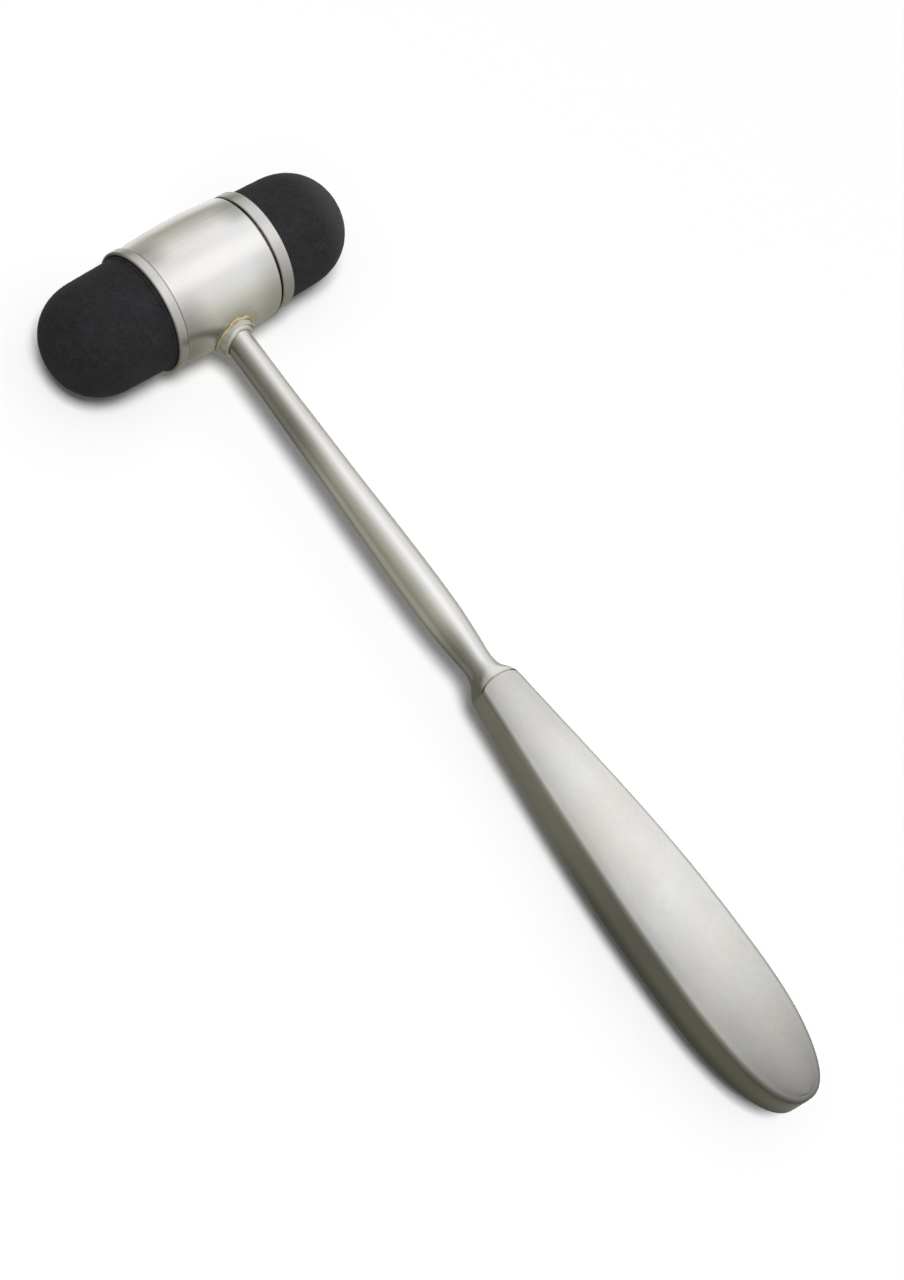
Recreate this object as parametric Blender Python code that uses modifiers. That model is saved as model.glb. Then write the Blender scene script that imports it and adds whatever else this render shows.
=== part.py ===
"""Reflex hammer of the percussion type: a barrel-shaped metal head with a rubber
buffer in each end, on a slim swelling shaft with a flat hollow handle.

Frame: head axis along X with the larger buffer at -X, handle along -Y, +Z square to
the flat of the handle. The origin is the bottom centre of the bounding box.
"""
import math

import bmesh
import bpy
from mathutils import Vector

MM = 0.001
GAP = 0.3 * MM                 # clearance between neighbouring pieces
STEPS = 40                     # segments of a large turned piece

# overall
LENGTH = 245.0 * MM            # far side of the barrel to the butt of the handle

# barrel, axial stations measured from the shaft axis
BARREL_R = 15.5 * MM
BARREL_END_R = 14.8 * MM
BARREL_LEFT = 13.2 * MM
BARREL_RIGHT = 13.8 * MM
BARREL_EDGE_R = 0.8 * MM
SPIGOT_R = 13.2 * MM
SOCKET_R = 12.0 * MM
WEB_HALF = 4.5 * MM

# end rings
LARGE_RING_R = 15.15 * MM
LARGE_RING_MOUTH = 15.8 * MM
SMALL_RING_R = 14.75 * MM
SMALL_RING_MOUTH = 17.4 * MM
RING_SEAM = 0.35 * MM
RING_RECESS = 1.2 * MM         # depth of the seat for the rubber bead

# rubber buffers
LARGE_BODY_R = 13.9 * MM
LARGE_BEAD_R = 14.25 * MM
LARGE_BEAD_PROUD = 0.8 * MM
LARGE_REACH = 24.8 * MM        # tip beyond the mouth of the ring
LARGE_DOME = 14.0 * MM
SMALL_BODY_R = 13.9 * MM
SMALL_BEAD_R = 13.9 * MM
SMALL_BEAD_PROUD = 0.2 * MM
SMALL_REACH = 22.3 * MM
SMALL_DOME = 14.2 * MM
STEM_R = 11.2 * MM
STEM_RIB_R = 11.65 * MM

# shaft: (distance from the head axis, radius)
SHAFT_STATIONS = ((16.0, 3.4), (30.0, 3.45), (44.0, 3.7), (58.0, 3.95), (72.0, 4.35),
                  (86.0, 4.6), (97.0, 4.5), (105.0, 3.95), (110.0, 3.6), (112.0, 3.75),
                  (113.4, 4.3), (114.2, 4.75))
NECK = 104.0                   # the shaft is drawn more finely beyond this, at its flare
TENON_R = 2.5 * MM
TENON_START = 5.4 * MM
TANG_R = 2.0 * MM
TANG_END = 150.0 * MM

# collar and braze at the root of the shaft
COLLAR_R = 4.85 * MM
COLLAR_SHOULDER = 15.8 * MM
COLLAR_TOP = 16.8 * MM
BRAZE_R = 5.6 * MM
BRAZE_H = 0.7 * MM

# handle, stations measured from the head axis
HANDLE_START = 114.6 * MM
HANDLE_WIDEST = 194.0 * MM
HANDLE_END = LENGTH - BARREL_R
HANDLE_NECK_W = 5.4 * MM       # half width at the neck
HANDLE_MAX_W = 10.85 * MM
HANDLE_NECK_T = 4.75 * MM      # half thickness at the neck
HANDLE_MAX_T = 7.4 * MM
HANDLE_BUTT_T = 5.6 * MM
FLAT_START = 181.0 * MM        # the two faces are level between these stations
FLAT_END = 201.0 * MM
BUTT_POWER = 2.45
HANDLE_EDGE_R = 1.4 * MM
NECK_CORNER = 1.4 * MM
WALL = 1.2 * MM

# head centre in the frame whose origin is the bottom centre of the bounding box
LARGE_TIP = LARGE_RING_MOUTH + LARGE_REACH
SMALL_TIP = SMALL_RING_MOUTH + SMALL_REACH
HEAD_CENTRE = Vector(((LARGE_TIP - SMALL_TIP) / 2, LENGTH / 2 - BARREL_R, BARREL_R))


def collection(name):
    found = bpy.data.collections.get(name)
    if found is None:
        found = bpy.data.collections.new(name)
        bpy.context.scene.collection.children.link(found)
    return found


def material(name, colour, metallic, roughness):
    mat = bpy.data.materials.new(name)
    mat.use_nodes = True
    shader = mat.node_tree.nodes["Principled BSDF"]
    shader.inputs["Base Color"].default_value = (*colour, 1.0)
    shader.inputs["Metallic"].default_value = metallic
    shader.inputs["Roughness"].default_value = roughness
    mat.diffuse_color = (*colour, 1.0)
    return mat


def baked(obj):
    """Replace an object's mesh by its evaluated mesh, with its modifiers applied."""
    bpy.context.view_layer.update()
    depsgraph = bpy.context.evaluated_depsgraph_get()
    mesh = bpy.data.meshes.new_from_object(obj.evaluated_get(depsgraph))
    obj.modifiers.clear()
    obj.data = mesh
    return obj


def turned(name, profile, closed=False, steps=STEPS):
    """Body of revolution about local Z from (radius, height) points, outer side down."""
    bm = bmesh.new()
    verts = [bm.verts.new((r, 0.0, h)) for r, h in profile]
    for a, b in zip(verts, verts[1:] + (verts[:1] if closed else [])):
        bm.edges.new((a, b))
    mesh = bpy.data.meshes.new(name)
    bm.to_mesh(mesh)
    bm.free()
    obj = bpy.data.objects.new(name, mesh)
    collection("reflex_hammer").objects.link(obj)
    screw = obj.modifiers.new("turn", 'SCREW')
    screw.angle = math.tau
    screw.steps = screw.render_steps = steps
    screw.use_merge_vertices = True
    screw.merge_threshold = 0.00001
    return obj


def arc(r, h, radius, start, end, count):
    """Points on an arc about (r, h), angles in degrees from the radial direction."""
    angles = [math.radians(start + (end - start) * i / count) for i in range(count + 1)]
    return [(r + radius * math.cos(a), h + radius * math.sin(a)) for a in angles]


def dome(body_r, mouth_r, base, reach, depth):
    """Buffer outline from its tip down to its base: a full dome on a slight taper."""
    points = []
    for i in range(10):
        a = math.pi / 2 * i / 9
        points.append((body_r * math.sin(a) ** 0.91, reach - depth + depth * math.cos(a) ** 0.91))
    points[0] = (0.0, reach)
    points.append((mouth_r, base))
    return points


def boolean(obj, cutter, operation='DIFFERENCE'):
    mod = obj.modifiers.new(cutter.name, 'BOOLEAN')
    mod.operation = operation
    mod.solver = 'EXACT'
    mod.object = cutter


def cylinder_cutter(name, radius, half, location, rotation, vertices=48):
    """Cylinder along its local Z, kept out of the result."""
    bm = bmesh.new()
    bmesh.ops.create_cone(bm, cap_ends=True, segments=vertices, radius1=radius,
                          radius2=radius, depth=2 * half)
    mesh = bpy.data.meshes.new(name)
    bm.to_mesh(mesh)
    bm.free()
    obj = bpy.data.objects.new(name, mesh)
    collection("cutters").objects.link(obj)
    obj.location = location
    obj.rotation_euler = rotation
    obj.hide_render = True
    obj.display_type = 'WIRE'
    return obj


def finish(obj, mat, parent):
    """Apply what is left, shade the round faces smooth and hang it on the frame."""
    baked(obj)
    obj.data.materials.clear()
    obj.data.materials.append(mat)
    obj.data.shade_smooth()
    obj.data.set_sharp_from_angle(angle=math.radians(32))
    obj.parent = parent
    return obj


def barrel_radius(h):
    """Barrel outline: a shallow bulge between its two ends."""
    mid = (BARREL_RIGHT - BARREL_LEFT) / 2
    u = (h - mid) / ((BARREL_RIGHT + BARREL_LEFT) / 2)
    return BARREL_R - (BARREL_R - BARREL_END_R) * u * u


def make_barrel():
    e = BARREL_EDGE_R
    right_end = SMALL_RING_MOUTH - RING_RECESS - GAP
    left_end = -(LARGE_RING_MOUTH - RING_RECESS - GAP)
    outer = []
    for i in range(9):
        h = (BARREL_RIGHT - e) - (BARREL_RIGHT + BARREL_LEFT - 2 * e) * i / 8
        outer.append((barrel_radius(h), h))
    top_r, bottom_r = outer[0][0], outer[-1][0]
    profile = [(0.0, WEB_HALF), (SOCKET_R, WEB_HALF), (SOCKET_R, right_end),
               (SPIGOT_R, right_end), (SPIGOT_R, BARREL_RIGHT)]
    profile += arc(top_r - e, BARREL_RIGHT - e, e, 90, 18, 2) + outer
    profile += arc(bottom_r - e, -BARREL_LEFT + e, e, -18, -90, 2)
    profile += [(SPIGOT_R, -BARREL_LEFT), (SPIGOT_R, left_end), (SOCKET_R, left_end),
                (SOCKET_R, -WEB_HALF), (0.0, -WEB_HALF)]
    barrel = turned("head_barrel", profile)
    barrel.rotation_euler = (0.0, math.pi / 2, 0.0)
    hole = cylinder_cutter("tenon_hole", TENON_R + GAP, 6.0 * MM,
                           (0.0, -(TENON_START - GAP + 6.0 * MM), 0.0),
                           (math.pi / 2, 0.0, 0.0), 24)
    boolean(barrel, hole)
    return barrel


def make_ring(name, outer_r, seam, mouth, bead_r):
    """End ring on the barrel's spigot, with a seat for the rubber bead in its mouth."""
    bore = SPIGOT_R + GAP
    e = 0.45 * MM
    seat = mouth - RING_RECESS
    profile = [(bead_r + GAP * 0.8, mouth)]
    profile += arc(outer_r - e - 0.1 * MM, mouth - e, e, 90, 0, 2)
    profile += arc(outer_r - e, seam + e, e, 0, -90, 2)
    profile += [(bore, seam), (bore, seat), (bead_r + GAP * 0.8, seat)]
    return turned(name, profile, closed=True)


def make_buffer(name, body_r, bead_r, proud, mouth, reach, depth):
    """Rubber buffer with its origin on the head axis, in the plane of the ring's mouth."""
    base = -RING_RECESS + GAP
    stem_end = -(mouth - WEB_HALF) + GAP
    profile = dome(body_r - 0.25 * MM, body_r, proud, reach, depth)
    profile += arc(bead_r - 0.3 * MM, proud - 0.3 * MM, 0.3 * MM, 90, 0, 2)
    profile += [(bead_r, base), (STEM_R, base)]
    span = base - stem_end
    for centre in (base - 0.34 * span, base - 0.72 * span):
        profile += [(STEM_R, centre + 0.8 * MM), (STEM_RIB_R, centre + 0.3 * MM),
                    (STEM_RIB_R, centre - 0.1 * MM), (STEM_R, centre - 0.9 * MM)]
    profile += [(STEM_R, stem_end + 0.6 * MM), (STEM_R - 0.6 * MM, stem_end), (0.0, stem_end)]
    return turned(name, profile)


def shaft_radius(y):
    """Smooth cubic through the shaft's stations."""
    s = SHAFT_STATIONS
    i = max(k for k in range(len(s) - 1) if s[k][0] <= y + 1e-9 or k == 0)

    def slope(k):
        if k == 0 or k == len(s) - 1:
            return 0.0
        return (s[k + 1][1] - s[k - 1][1]) / (s[k + 1][0] - s[k - 1][0])

    (y0, r0), (y1, r1) = s[i], s[i + 1]
    w = y1 - y0
    u = (y - y0) / w
    return (r0 * (2 * u ** 3 - 3 * u ** 2 + 1) + r1 * (3 * u ** 2 - 2 * u ** 3)
            + slope(i) * w * (u ** 3 - 2 * u ** 2 + u) + slope(i + 1) * w * (u ** 3 - u ** 2))


def make_shaft():
    """Turned about local Z, which points along -Y: the tang is the top of the profile."""
    start, end = SHAFT_STATIONS[0][0], SHAFT_STATIONS[-1][0]
    levels = [end - (end - NECK) * i / 9 for i in range(9)]
    levels += [NECK - (NECK - start) * i / 13 for i in range(14)]
    body = [(shaft_radius(y) * MM, y * MM) for y in levels]
    profile = [(0.0, TANG_END), (TANG_R - 0.4 * MM, TANG_END), (TANG_R, TANG_END - 0.6 * MM),
               (TANG_R, end * MM)]
    profile += body
    profile += [(TENON_R, start * MM), (TENON_R, TENON_START + 0.4 * MM),
                (TENON_R - 0.4 * MM, TENON_START), (0.0, TENON_START)]
    shaft = turned("shaft", profile, steps=24)
    shaft.rotation_euler = (math.pi / 2, 0.0, 0.0)
    return shaft


def make_collar():
    """Low rounded boss whose foot is cut to sit on the barrel."""
    bore = SHAFT_STATIONS[0][1] * MM + GAP
    profile = [(bore, COLLAR_TOP), (bore + 0.2 * MM, COLLAR_TOP),
               (COLLAR_R - 0.2 * MM, (COLLAR_TOP + COLLAR_SHOULDER) / 2 + 0.1 * MM),
               (COLLAR_R, COLLAR_SHOULDER), (COLLAR_R, 11.0 * MM), (bore, 11.0 * MM)]
    collar = turned("shaft_collar", profile, closed=True, steps=32)
    collar.rotation_euler = (math.pi / 2, 0.0, 0.0)
    seat = cylinder_cutter("collar_seat", BARREL_R + GAP, 20 * MM, (0, 0, 0),
                           (0.0, math.pi / 2, 0.0), 72)
    boolean(collar, seat)
    return collar, seat


def make_braze(seat):
    """Saddle-shaped bead of brazing metal around the foot of the collar."""
    inner = COLLAR_R + GAP
    profile = [(inner, 19.0 * MM), (BRAZE_R, 19.0 * MM), (BRAZE_R, 11.0 * MM),
               (inner, 11.0 * MM)]
    braze = turned("braze_fillet", profile, closed=True, steps=32)
    braze.rotation_euler = (math.pi / 2, 0.0, 0.0)
    cap = cylinder_cutter("braze_top", BARREL_R + GAP + BRAZE_H, 20 * MM, (0, 0, 0),
                          (0.0, math.pi / 2, 0.0), 72)
    boolean(braze, cap, 'INTERSECT')
    boolean(braze, seat)
    return braze


def handle_half_width(y):
    """Half width of the handle at distance y from the head axis."""
    if y >= HANDLE_WIDEST:
        u = min(1.0, (y - HANDLE_WIDEST) / (HANDLE_END - HANDLE_WIDEST))
        return HANDLE_MAX_W * (1.0 - u ** BUTT_POWER) ** (1.0 / BUTT_POWER)
    u = (y - HANDLE_START) / (HANDLE_WIDEST - HANDLE_START)
    return HANDLE_NECK_W + (HANDLE_MAX_W - HANDLE_NECK_W) * math.sin(math.pi / 2 * u) ** 1.13


def handle_half_thickness(y):
    """Half thickness at distance y from the head axis: level over the flat, less each way."""
    if y > FLAT_END:
        u = (y - FLAT_END) / (HANDLE_END - FLAT_END)
        return HANDLE_MAX_T - (HANDLE_MAX_T - HANDLE_BUTT_T) * u ** 2.0
    u = min(1.0, max(0.0, (y - HANDLE_START) / (FLAT_START - HANDLE_START)))
    return HANDLE_NECK_T + (HANDLE_MAX_T - HANDLE_NECK_T) * math.sin(math.pi / 2 * u) ** 1.12


def handle_outline(inset):
    """Plan outline of the handle, moved inwards by `inset`, from neck to butt and back."""
    corner = NECK_CORNER
    right = [(HANDLE_NECK_W - corner, HANDLE_START),
             (HANDLE_NECK_W - 0.3 * corner, HANDLE_START + 0.3 * corner)]
    first = HANDLE_START + corner
    for i in range(13):
        y = first + (HANDLE_WIDEST - first) * i / 12
        right.append((handle_half_width(y), y))
    for i in range(1, 12):
        a = math.pi / 2 * i / 12
        x = HANDLE_MAX_W * math.cos(a) ** (2 / BUTT_POWER)
        y = HANDLE_WIDEST + (HANDLE_END - HANDLE_WIDEST) * math.sin(a) ** (2 / BUTT_POWER)
        right.append((x, y))
    full = right + [(0.0, HANDLE_END)] + [(-x, y) for x, y in reversed(right)]
    moved = []
    for i, (x, y) in enumerate(full):
        a, b = full[i - 1], full[(i + 1) % len(full)]
        tangent = Vector((b[0] - a[0], b[1] - a[1])).normalized()
        moved.append((x - tangent.y * inset, y + tangent.x * inset))
    return moved


def handle_loft(name, layers):
    """Closed loft through the handle's outline at several levels.

    The outline narrows and the height changes along the handle, so each level is a
    (inset, height function) pair; the two ends are closed by strips across the handle.
    """
    bm = bmesh.new()
    rings = [[bm.verts.new((x, -y, height(y))) for x, y in handle_outline(inset)]
             for inset, height in layers]
    count = len(rings[0])
    for low, high in zip(rings, rings[1:]):
        for i in range(count):
            k = (i + 1) % count
            bm.faces.new((low[i], low[k], high[k], high[i]))
    for ring in (rings[0], rings[-1]):
        for i in range(count // 2):
            strip = [ring[i], ring[i + 1], ring[count - 2 - i], ring[count - 1 - i]]
            bm.faces.new(dict.fromkeys(strip))
    bmesh.ops.recalc_face_normals(bm, faces=bm.faces)
    mesh = bpy.data.meshes.new(name)
    bm.to_mesh(mesh)
    bm.free()
    obj = bpy.data.objects.new(name, mesh)
    collection("reflex_hammer").objects.link(obj)
    return obj


def make_handle():
    """Hollow handle: a pressed body with its side wall, and a face plate brazed on top."""
    r = HANDLE_EDGE_R
    t = handle_half_thickness
    rounding = [(r - r * math.sin(a), r - r * math.cos(a))
                for a in (math.pi / 2 * i / 4 for i in range(5))]
    body_layers = [(inset, lambda y, d=depth: d - t(y)) for inset, depth in rounding]
    body_layers += [(0.0, lambda y: t(y) - WALL - GAP), (WALL, lambda y: t(y) - WALL - GAP),
                    (WALL, lambda y: WALL - t(y))]
    body = handle_loft("handle_body", body_layers)
    tang_hole = cylinder_cutter("tang_hole", TANG_R + GAP, 2 * MM, (0.0, -HANDLE_START, 0.0),
                                (math.pi / 2, 0.0, 0.0), 24)
    boolean(body, tang_hole)
    plate_layers = [(0.03 * MM, lambda y: t(y) - WALL)]
    plate_layers += [(inset, lambda y, d=depth: t(y) - d) for inset, depth in
                     reversed(rounding[:-1])]
    return body, handle_loft("handle_face_plate", plate_layers)


def main():
    for obj in list(bpy.data.objects):
        bpy.data.objects.remove(obj)
    collection("reflex_hammer")
    steel = (0.60, 0.60, 0.575)
    rubber = (0.027, 0.025, 0.029)
    mats = {
        "head_barrel": material("barrel_steel", steel, 1.0, 0.30),
        "large_end_ring": material("large_ring_steel", (0.62, 0.62, 0.59), 1.0, 0.28),
        "small_end_ring": material("small_ring_steel", (0.61, 0.61, 0.585), 1.0, 0.28),
        "large_buffer": material("large_buffer_rubber", rubber, 0.0, 0.85),
        "small_buffer": material("small_buffer_rubber", (0.028, 0.026, 0.030), 0.0, 0.85),
        "shaft_collar": material("collar_steel", (0.60, 0.60, 0.58), 1.0, 0.32),
        "braze_fillet": material("braze_brass", (0.72, 0.52, 0.25), 1.0, 0.38),
        "shaft": material("shaft_steel", (0.58, 0.58, 0.56), 1.0, 0.33),
        "handle_body": material("handle_body_steel", (0.50, 0.50, 0.47), 1.0, 0.42),
        "handle_face_plate": material("face_plate_steel", (0.56, 0.56, 0.54), 1.0, 0.42),
    }
    frame = bpy.data.objects.new("head_centre", None)
    frame.location = HEAD_CENTRE
    collection("reflex_hammer").objects.link(frame)

    barrel = make_barrel()
    large_ring = make_ring("large_end_ring", LARGE_RING_R, BARREL_LEFT + RING_SEAM,
                           LARGE_RING_MOUTH, LARGE_BEAD_R)
    small_ring = make_ring("small_end_ring", SMALL_RING_R, BARREL_RIGHT + RING_SEAM,
                           SMALL_RING_MOUTH, SMALL_BEAD_R)
    large_ring.rotation_euler = (0.0, -math.pi / 2, 0.0)
    small_ring.rotation_euler = (0.0, math.pi / 2, 0.0)
    large = make_buffer("large_buffer", LARGE_BODY_R, LARGE_BEAD_R, LARGE_BEAD_PROUD,
                        LARGE_RING_MOUTH, LARGE_REACH, LARGE_DOME)
    large.location = (-LARGE_RING_MOUTH, 0.0, 0.0)
    large.rotation_euler = (0.0, -math.pi / 2, 0.0)
    small = make_buffer("small_buffer", SMALL_BODY_R, SMALL_BEAD_R, SMALL_BEAD_PROUD,
                        SMALL_RING_MOUTH, SMALL_REACH, SMALL_DOME)
    small.location = (SMALL_RING_MOUTH, 0.0, 0.0)
    small.rotation_euler = (0.0, math.pi / 2, 0.0)
    collar, seat = make_collar()
    braze = make_braze(seat)
    shaft = make_shaft()
    handle_body, face_plate = make_handle()

    for obj in (barrel, large_ring, small_ring, large, small, collar, braze, shaft,
                handle_body, face_plate):
        finish(obj, mats[obj.name], frame)


main()
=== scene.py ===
"""Looks of the reflex hammer: finely turned and lofted pieces over the CAD frame.

Lengths in the tables are millimetres. Along the head they count from the shaft's axis,
along the shaft and handle from the head's axis.
"""
import math

import bmesh
import bpy
from mathutils import Matrix, Vector, noise


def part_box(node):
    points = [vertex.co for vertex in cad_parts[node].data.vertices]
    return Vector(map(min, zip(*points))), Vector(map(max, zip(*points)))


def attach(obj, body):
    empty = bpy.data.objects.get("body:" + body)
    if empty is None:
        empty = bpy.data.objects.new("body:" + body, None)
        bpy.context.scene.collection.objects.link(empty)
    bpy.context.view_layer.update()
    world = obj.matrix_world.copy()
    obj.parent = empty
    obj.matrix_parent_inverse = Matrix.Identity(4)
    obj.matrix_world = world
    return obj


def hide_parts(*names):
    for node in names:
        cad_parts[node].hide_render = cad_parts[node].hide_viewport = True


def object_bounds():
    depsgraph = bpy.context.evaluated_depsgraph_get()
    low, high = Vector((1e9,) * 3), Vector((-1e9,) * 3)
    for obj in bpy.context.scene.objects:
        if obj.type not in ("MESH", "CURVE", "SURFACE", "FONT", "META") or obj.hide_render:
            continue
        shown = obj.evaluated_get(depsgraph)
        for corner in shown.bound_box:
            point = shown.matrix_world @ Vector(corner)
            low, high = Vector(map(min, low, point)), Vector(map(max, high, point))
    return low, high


MM = 0.001
AROUND = 144                   # segments round a turned piece
SHARP_ANGLE = math.radians(35)
CAMERA_FROM_HEAD = Vector((-308.285, -198.456, 639.273)) * MM
CAMERA_RIGHT = Vector((0.7598, -0.5890, 0.2752)).normalized()
CAMERA_BACK = Vector((-0.4286, -0.1356, 0.8932))
CAMERA_LENS = 127.43           # mm, for a sensor 36 mm wide

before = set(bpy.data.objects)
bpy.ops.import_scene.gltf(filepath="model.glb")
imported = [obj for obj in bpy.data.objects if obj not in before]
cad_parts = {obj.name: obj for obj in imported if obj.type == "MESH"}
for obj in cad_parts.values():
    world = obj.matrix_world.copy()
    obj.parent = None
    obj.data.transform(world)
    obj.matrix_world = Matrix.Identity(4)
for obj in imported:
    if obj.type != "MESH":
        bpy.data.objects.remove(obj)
cad_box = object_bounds()


def middle(node):
    low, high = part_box(node)
    return (low + high) / 2


HEAD = Vector((middle("shaft").x, middle("head_barrel").y, middle("head_barrel").z))


# ---------------------------------------------------------------- camera

def make_camera():
    """Looks down on the hammer from the side of the larger buffer, head at upper left."""
    cam = bpy.data.cameras.new("camera")
    cam.sensor_fit = 'HORIZONTAL'
    cam.sensor_width = 36.0
    cam.lens = CAMERA_LENS
    cam.clip_start, cam.clip_end = 0.01, 50.0
    obj = bpy.data.objects.new("camera", cam)
    bpy.context.scene.collection.objects.link(obj)
    back = (CAMERA_BACK - CAMERA_RIGHT * CAMERA_BACK.dot(CAMERA_RIGHT)).normalized()
    turn = Matrix((CAMERA_RIGHT, back.cross(CAMERA_RIGHT), back)).transposed().to_4x4()
    obj.matrix_world = Matrix.Translation(HEAD + CAMERA_FROM_HEAD) @ turn
    bpy.context.scene.camera = obj


make_camera()


# ---------------------------------------------------------------- mesh helpers

def link(name, bm):
    bmesh.ops.recalc_face_normals(bm, faces=bm.faces)
    mesh = bpy.data.meshes.new(name)
    bm.to_mesh(mesh)
    bm.free()
    obj = bpy.data.objects.new(name, mesh)
    bpy.context.scene.collection.objects.link(obj)
    return obj


def bands(bm, rings, closed=False):
    """Faces between neighbouring rings; a ring of one point makes a fan."""
    steps = max(len(ring) for ring in rings)
    for low, high in zip(rings, rings[1:] + rings[:1] if closed else rings[1:]):
        for i in range(steps):
            k = (i + 1) % steps
            corners = [low[i % len(low)], low[k % len(low)], high[k % len(high)],
                       high[i % len(high)]]
            bm.faces.new(list(dict.fromkeys(corners)))


def turned(name, profile, closed=False):
    """Body of revolution about local Z from (radius, height) points in millimetres."""
    bm = bmesh.new()
    rings = []
    for r, h in profile:
        if r < 1e-6:
            rings.append([bm.verts.new((0.0, 0.0, h * MM))])
            continue
        ring = []
        for i in range(AROUND):
            a = math.tau * i / AROUND
            ring.append(bm.verts.new((r * MM * math.cos(a), r * MM * math.sin(a), h * MM)))
        rings.append(ring)
    bands(bm, rings, closed)
    return link(name, bm)


def arc(r, h, radius, start, end, count):
    """Arc about (r, h); angles in degrees, 0 outwards and 90 up."""
    angles = [math.radians(start + (end - start) * i / count) for i in range(count + 1)]
    return [(r + radius * math.cos(a), h + radius * math.sin(a)) for a in angles]


def smooth_curve(stations, count):
    """Cubic through (position, value) stations, sampled at `count` + 1 even positions."""
    s = stations

    def slope(k):
        if k == 0 or k == len(s) - 1:
            return 0.0
        return (s[k + 1][1] - s[k - 1][1]) / (s[k + 1][0] - s[k - 1][0])

    points = []
    for n in range(count + 1):
        y = s[0][0] + (s[-1][0] - s[0][0]) * n / count
        i = max(k for k in range(len(s) - 1) if s[k][0] <= y + 1e-9)
        (y0, r0), (y1, r1) = s[i], s[i + 1]
        w = y1 - y0
        u = (y - y0) / w
        value = (r0 * (2 * u ** 3 - 3 * u ** 2 + 1) + r1 * (3 * u ** 2 - 2 * u ** 3)
                 + slope(i) * w * (u ** 3 - 2 * u ** 2 + u)
                 + slope(i + 1) * w * (u ** 3 - u ** 2))
        points.append((y, value))
    return points


def shade(obj, mat):
    obj.data.materials.clear()
    obj.data.materials.append(mat)
    obj.data.shade_smooth()
    obj.data.set_sharp_from_angle(angle=SHARP_ANGLE)


def settle(obj, mat, body, node):
    """Finish a piece that stands in the frame of the head centre."""
    shade(obj, mat)
    obj.location += HEAD
    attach(obj, body)
    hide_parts(node)


# ---------------------------------------------------------------- material helpers

RANGE_INPUTS = ("From Min", "From Max", "To Min", "To Max")


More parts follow.
